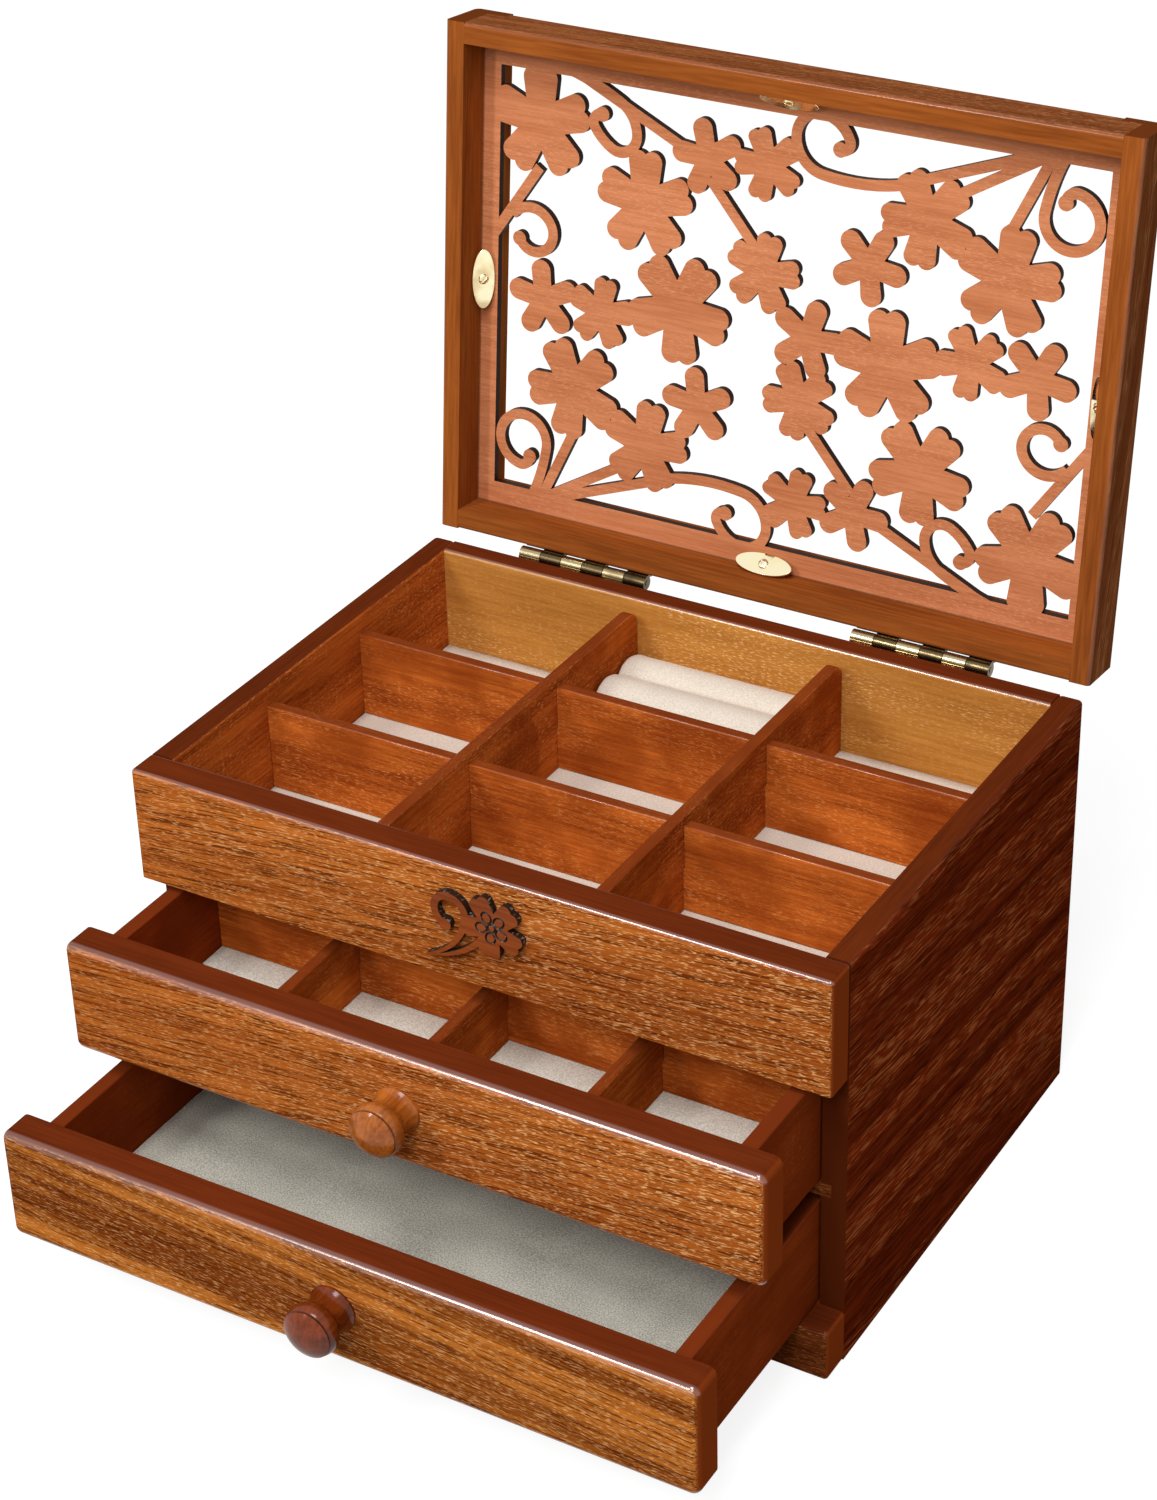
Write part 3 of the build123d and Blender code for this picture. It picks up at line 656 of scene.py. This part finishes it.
for boardEase, boardNames in easedBoards["ease"].items():
    for boardName in boardNames:
        share = easedBoard(boardName, boardEase, easedBoards)
        print("eased", boardName, round(share, 4))

ringRolls = {
    "rolls": 3,
    "grow": 8.0,
    "shrink": 0.984,
    "voxel": 0.0115,
    "pressure": 4.0,
    "frames": 20,
    "cap": 0.014,
    "held": 0.012,
    "sewnAbove": 0.06,
    "fill": 0.8,
}


def buildRingRolls(look):
    low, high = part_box("ring_roll_pad")
    middle = (low + high) / 2
    middle.z = low.z
    work = bmesh.new()
    work.from_mesh(bpy.data.objects["ring_roll_pad"].data)
    bmesh.ops.remove_doubles(work, verts=work.verts, dist=1e-6)
    for vert in work.verts:  # swelled up to cushion size, at which the cloth settings are usual
        vert.co = (vert.co - middle) * look["grow"] * look["shrink"]
    piece = pieceFrom("ring_rolls", work)
    remesh = piece.modifiers.new("skin", "REMESH")
    remesh.mode = "VOXEL"
    remesh.voxel_size = look["voxel"]
    mesh = baked(piece)
    start = [vert.co.copy() for vert in mesh.vertices]
    depth = (high.y - low.y) * look["grow"] * look["shrink"]
    valleys = [depth * (k / look["rolls"] - 0.5) for k in range(1, look["rolls"])]
    held = piece.vertex_groups.new(name="held")
    for index, spot in enumerate(start):
        sewn = any(abs(spot.y - valley) < look["held"] for valley in valleys)
        if spot.z < look["held"] or sewn and spot.z > look["sewnAbove"]:
            held.add([index], 1.0, "REPLACE")
    cloth = piece.modifiers.new("cloth", "CLOTH")
    cloth.settings.vertex_group_mass = "held"
    cloth.settings.use_pressure = True
    cloth.settings.uniform_pressure_force = look["pressure"]
    cloth.settings.effector_weights.gravity = 0
    cloth.point_cache.frame_end = look["frames"]
    for step in range(1, look["frames"] + 1):
        scene.frame_set(step)
    mesh = baked(piece)
    scene.frame_set(1)
    for vert, home in zip(mesh.vertices, start):
        move = vert.co - home
        if move.length > look["cap"]:
            move *= look["cap"] / move.length
        vert.co = middle + (home + move) / look["grow"]
    mesh.update()
    for face in mesh.polygons:
        face.use_smooth = True
    smooth = piece.modifiers.new("smooth", "SUBSURF")
    smooth.levels = smooth.render_levels = 1
    baked(piece)
    settle(piece, "ring_roll_pad")
    print("ring rolls:", len(piece.data.vertices), "points")


buildRingRolls(ringRolls)

liningLook = {
    "step": 4 * mm,
    "wave": 0.12 * mm,
    "ripples": {"x": (71, 2.0, 37), "y": (53, 1.5, 29)},  # waves along a side, their bend and its waves
}
linings = {
    "tray_velvet_sheet": ("tray_lining", "tray_floor"),
    "upper_drawer_velvet_sheet": ("upper_drawer_lining", "upper_drawer_bottom"),
    "lower_drawer_velvet_sheet": ("lower_drawer_lining", "lower_drawer_bottom"),
}


def ripple(waves, bend, bendWaves, here, beside):
    return sin(waves * here + bend * sin(bendWaves * beside))


def buildLining(name, nodeName, look):
    low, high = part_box(nodeName)
    wide, long = high.x - low.x, high.y - low.y
    across, along = round(wide / look["step"]), round(long / look["step"])
    work = bmesh.new()
    rows = []
    for j in range(along + 1):
        row = []
        for i in range(across + 1):
            x, y = low.x + wide * i / across, low.y + long * j / along
            lift = ripple(*look["ripples"]["x"], x, y) * ripple(*look["ripples"]["y"], y, x)
            row.append(work.verts.new((x, y, high.z + look["wave"] * (lift - 1.0))))
        rows.append(row)
    for j in range(along):
        for i in range(across):
            work.faces.new((rows[j][i], rows[j][i + 1], rows[j + 1][i + 1], rows[j + 1][i])).smooth = True
    piece = pieceFrom(name, work)
    body = piece.modifiers.new("cloth thickness", "SOLIDIFY")
    body.thickness = high.z - low.z - 2 * look["wave"]
    body.offset = -1.0
    baked(piece)
    settle(piece, nodeName)


for liningName, (liningNode, floorNode) in linings.items():
    buildLining(liningName, liningNode, liningLook)
print("velvet linings laid")

hingeLook = {  # the same lengths as the solids have
    "axis": Vector(lidJoint["pos_m"]),
    "centres": (-73 * mm, 73 * mm),
    "leafFace": 103.2 * mm,
    "screwPitch": 19 * mm,
    "screwDrop": 10.8 * mm,
    "stagger": 3 * mm,
}
clipLook = {"reach": 5.7 * mm, "wallX": 132 * mm, "wallY": 94 * mm, "level": 182.9 * mm}
screwLook = {
    "radius": 2.1 * mm,
    "height": 0.85 * mm,
    "neck": 0.6 * mm,
    "shankShare": 0.55,
    "rimShare": 0.2,
    "slotWidth": 0.6 * mm,
    "slotDepth": 0.45 * mm,
    "slotReachShare": 2.4,
    "sides": 28,
    "rings": 5,
    "seed": 7,
}
lidOpening = Matrix.Rotation(-lidTurn, 3, "X")


def opened(spot):  # from the shut lid to the open one
    return lidOpening @ (spot - hingeLook["axis"]) + hingeLook["axis"]


def hingeScrewSpots(hand, look):
    spots = []
    for centre in look["centres"]:
        for step in (-1, 0, 1):
            drop = look["screwDrop"] + look["stagger"] * (0.5 - abs(step))
            x, z = centre + look["screwPitch"] * step, look["axis"].z + hand * drop
            spots.append(Vector((x, look["leafFace"], z)))
    return spots


def clipScrewRows(look):
    reach = look["reach"] / 2 ** 0.5  # along each of the two directions that a clip leans between
    rows = []
    for leanX, leanY in ((1, 0), (-1, 0), (0, 1), (0, -1)):
        x, y = (reach - look["wallX"]) * leanX, (reach - look["wallY"]) * leanY
        out = lidOpening @ Vector((leanX, leanY, -1)).normalized()
        rows.append((opened(Vector((x, y, look["level"] - reach))), out))
    return rows


def screwHead(look):
    work = bmesh.new()
    wide = look["radius"]
    shank, rim = wide * look["shankShare"], look["neck"] * look["rimShare"]
    profile = [(shank, -look["neck"]), (wide, -rim), (wide, 0.0)]
    for k in range(1, look["rings"]):
        turn = pi / 2 * k / look["rings"]
        profile.append((wide * cos(turn), look["height"] * sin(turn)))
    loops = []
    for radius, z in profile:
        turns = [2 * pi * k / look["sides"] for k in range(look["sides"])]
        loops.append([work.verts.new((radius * cos(t), radius * sin(t), z)) for t in turns])
    for lower, upper in zip(loops, loops[1:]):
        for k in range(look["sides"]):
            after = (k + 1) % look["sides"]
            work.faces.new((lower[k], lower[after], upper[after], upper[k])).smooth = True
    work.faces.new(list(reversed(loops[0])))
    tip = work.verts.new((0, 0, look["height"]))
    for k in range(look["sides"]):
        work.faces.new((loops[-1][k], loops[-1][(k + 1) % look["sides"]], tip)).smooth = True
    head = pieceFrom("screwHead", work)
    cut = bmesh.new()
    bmesh.ops.create_cube(cut, size=1.0)
    for vert in cut.verts:
        vert.co.x *= wide * look["slotReachShare"]
        vert.co.y *= look["slotWidth"]
        vert.co.z = look["height"] - look["slotDepth"] + (vert.co.z + 0.5) * look["height"]
    carve(head, "screwSlot", cut)
    return head


def screwTree():
    tree = bpy.data.node_groups.new("slottedScrews", "GeometryNodeTree")
    kinds = [("Geometry", "Geometry"), ("Head", "Object"), ("Seed", "Int"), ("Finish", "Material")]
    for name, kind in kinds:
        tree.interface.new_socket(name, in_out="INPUT", socket_type="NodeSocket" + kind)
    tree.interface.new_socket("Geometry", in_out="OUTPUT", socket_type="NodeSocketGeometry")
    maker = Maker(tree)
    given = {name: maker.add("NodeGroupInput", out=name) for name, _ in kinds}
    facing = maker.add("GeometryNodeInputNamedAttribute", {"data_type": "FLOAT_VECTOR"}, {"Name": "facing"})
    upright = maker.add("FunctionNodeAlignRotationToVector", {"axis": "Z"}, {"Vector": facing})
    sockets = {2: 0.0, 3: pi, "Seed": given["Seed"]}  # 2 and 3 are the ends of the range of plain numbers
    twist = maker.add("FunctionNodeRandomValue", {"data_type": "FLOAT"}, sockets, 1)
    spin = maker.add("FunctionNodeAxisAngleToRotation", None, {"Axis": (0, 0, 1), "Angle": twist})
    sockets = {"Rotation": upright, "Rotate By": spin}
    turned = maker.add("FunctionNodeRotateRotation", {"rotation_space": "LOCAL"}, sockets)
    shape = maker.add("GeometryNodeObjectInfo", None, {"Object": given["Head"]}, "Geometry")
    sockets = {"Points": given["Geometry"], "Instance": shape, "Rotation": turned}
    copies = maker.add("GeometryNodeInstanceOnPoints", None, sockets)
    real = maker.add("GeometryNodeRealizeInstances", None, {"Geometry": copies})
    painted = maker.add("GeometryNodeSetMaterial", None, {"Geometry": real, "Material": given["Finish"]})
    maker.put(tree.nodes.new("NodeGroupOutput").inputs[0], painted)
    return tree


def driveScrews(nodeName, rows, tree, head, seed):
    mesh = bpy.data.meshes.new(nodeName + "_slotted")
    mesh.from_pydata([tuple(spot) for spot, _ in rows], [], [])
    facing = mesh.attributes.new("facing", "FLOAT_VECTOR", "POINT")
    for item, (_, out) in zip(facing.data, rows):
        item.vector = out
    piece = newPiece(nodeName + "_slotted", mesh)
    screws = piece.modifiers.new("screws", "NODES")
    screws.node_group = tree
    sockets = {item.name: item.identifier for item in tree.interface.items_tree if item.in_out == "INPUT"}
    screws[sockets["Head"]] = head
    screws[sockets["Seed"]] = seed
    screws[sockets["Finish"]] = finishes[finishOf[nodeName]]
    baked(piece)
    settle(piece, nodeName)


def buildScrews(look):
    head, tree = screwHead(look), screwTree()
    back = Vector((0, 1, 0))
    caseRows = [(spot, back) for spot in hingeScrewSpots(-1, hingeLook)]
    lidRows = [(opened(spot), lidOpening @ back) for spot in hingeScrewSpots(1, hingeLook)]
    driveScrews("case_hinge_screws", caseRows, tree, head, look["seed"])
    driveScrews("lid_hinge_screws", lidRows, tree, head, look["seed"] + 1)
    driveScrews("clip_screws", clipScrewRows(clipLook), tree, head, look["seed"] + 2)
    bpy.data.objects.remove(head)
    print("screws driven")


buildScrews(screwLook)

engraving = {
    "across": 12.6 * mm,  # from the middle of the front panel to the blossom's
    "above": 4.8 * mm,
    "petals": 5,
    "turn": radians(46),
    "petalAt": 4.2 * mm,
    "petalLong": 2.2 * mm,
    "petalWide": 1.85 * mm,
    "ring": 1.45 * mm,
    "groove": 0.42 * mm,
    "round": 36,
    "sides": 4,
}


def grooveLoop(work, centre, turn, long, wide, look):
    loops = []
    tilt = Matrix.Rotation(-turn, 3, "Y")
    for k in range(look["round"]):
        t = 2 * pi * k / look["round"]
        flat = tilt @ Vector((long * cos(t), 0, wide * sin(t)))
        loop = []
        for s in range(look["sides"]):
            a = 2 * pi * s / look["sides"]
            side = cos(a) * flat.normalized() + sin(a) * Vector((0, 1, 0))
            loop.append(work.verts.new(centre + flat + look["groove"] * side))
        loops.append(loop)
    for k, loop in enumerate(loops):
        after = loops[(k + 1) % len(loops)]
        for s in range(look["sides"]):
            t = (s + 1) % look["sides"]
            work.faces.new((loop[s], loop[t], after[t], after[s]))


def engraveOrnament(look):
    piece = pieceFrom("front_ornament_engraved", cleaned("front_ornament"))
    panelLow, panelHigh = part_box("front_panel")
    level = (panelLow.z + panelHigh.z) / 2 + look["above"]
    middle = Vector((look["across"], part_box("front_ornament")[0].y, level))
    cut = bmesh.new()
    for k in range(look["petals"]):
        turn = look["turn"] + 2 * pi * k / look["petals"]
        centre = middle + look["petalAt"] * Vector((cos(turn), 0, sin(turn)))
        grooveLoop(cut, centre, turn, look["petalLong"], look["petalWide"], look)
    grooveLoop(cut, middle, 0.0, look["ring"], look["ring"], look)
    bmesh.ops.recalc_face_normals(cut, faces=cut.faces)
    carve(piece, "engravingTool", cut, crossing=True)
    settle(piece, "front_ornament")
    print("ornament engraved:", len(piece.data.polygons), "faces")


engraveOrnament(engraving)

stageLook = {"floorHalf": 6.0, "floor": (0.5, 0.5, 0.5, 1.0), "seen": 0.86, "kept": 0.28, "world": 0.3}


def buildFloor(look):
    half = look["floorHalf"]
    mesh = bpy.data.meshes.new("floor")
    corners = [(-half, -half, 0), (half, -half, 0), (half, half, 0), (-half, half, 0)]
    mesh.from_pydata(corners, [], [(0, 1, 2, 3)])
    floor = newPiece("floor", mesh)
    constants = {"Base Color": look["floor"], "Roughness": 1.0, "Specular IOR Level": 0.0}
    paper = material("floorPaper", constants)
    kept = paper.add("BsdfDiffuse", None, {"Color": (look["kept"],) * 3 + (1.0,)})
    glow = paper.add("Emission", None, {"Strength": look["seen"]})
    white = paper.add("AddShader", None, {0: kept, 1: glow})
    sockets = {0: paper.seen(), 1: Link(paper, paper.shader.outputs[0]), 2: white}
    paper.put(paper.output.inputs[0], paper.add("MixShader", None, sockets))
    mesh.materials.append(paper.owner)


def buildWorld(look):
    light = {"Color": (1.0, 1.0, 1.0, 1.0), "Strength": look["world"]}
    sky = Finish(bpy.data.worlds.new("studio"), light, "Background", "OutputWorld")
    white = sky.add("Background", None, {"Color": (1.0, 1.0, 1.0, 1.0), "Strength": 1.0})
    sockets = {0: sky.seen(), 1: Link(sky, sky.shader.outputs[0]), 2: white}
    sky.put(sky.output.inputs[0], sky.add("MixShader", None, sockets))
    scene.world = sky.owner


lamps = {
    "key": {"place": (0.45, -1.5, 1.5), "aim": (0, 0, 0.12), "wide": 0.6, "tall": 0.6, "watts": 11.5},
    "top": {"place": (0.15, -0.8, 1.9), "aim": (0, 0, 0.1), "wide": 0.7, "tall": 0.7, "watts": 19.5},
    "strip": {"place": (-0.8, -1.6, 1.4), "aim": (0, 0, 0.12), "wide": 0.12, "tall": 0.8, "watts": 16},
}


def hangLamp(name, look):
    data = bpy.data.lights.new(name, "AREA")
    data.shape = "RECTANGLE"
    data.size, data.size_y = look["wide"], look["tall"]
    data.energy = look["watts"]
    lamp = bpy.data.objects.new(name, data)
    lamp.location = look["place"]
    lamp.rotation_euler = (Vector(look["aim"]) - Vector(look["place"])).to_track_quat("-Z", "Y").to_euler()
    scene.collection.objects.link(lamp)


buildFloor(stageLook)
buildWorld(stageLook)
for lampName, lampLook in lamps.items():
    hangLamp(lampName, lampLook)

photoView = {
    "focalPixels": 3314.0,
    "longSidePixels": 1500,
    "sensor": 36.0,
    "place": (0.52168, -0.88365, 0.78100),
    "azimuth": 31.2435,
    "elevation": 31.1213,
    "roll": -1.718,
}


def placeCamera(look):
    azimuth, elevation, roll = (radians(look[key]) for key in ("azimuth", "elevation", "roll"))
    back = Vector((sin(azimuth) * cos(elevation), -cos(azimuth) * cos(elevation), sin(elevation)))
    level = Vector((cos(azimuth), sin(azimuth), 0))
    right = cos(roll) * level + sin(roll) * back.cross(level)
    data = bpy.data.cameras.new("photoCamera")
    data.sensor_width = look["sensor"]
    data.lens = look["focalPixels"] / look["longSidePixels"] * look["sensor"]
    camera = bpy.data.objects.new("photoCamera", data)
    turn = Matrix((right, back.cross(right), back)).transposed().to_4x4()
    camera.matrix_world = Matrix.Translation(look["place"]) @ turn
    scene.collection.objects.link(camera)
    scene.camera = camera


placeCamera(photoView)
print("stage, lamps and camera set")
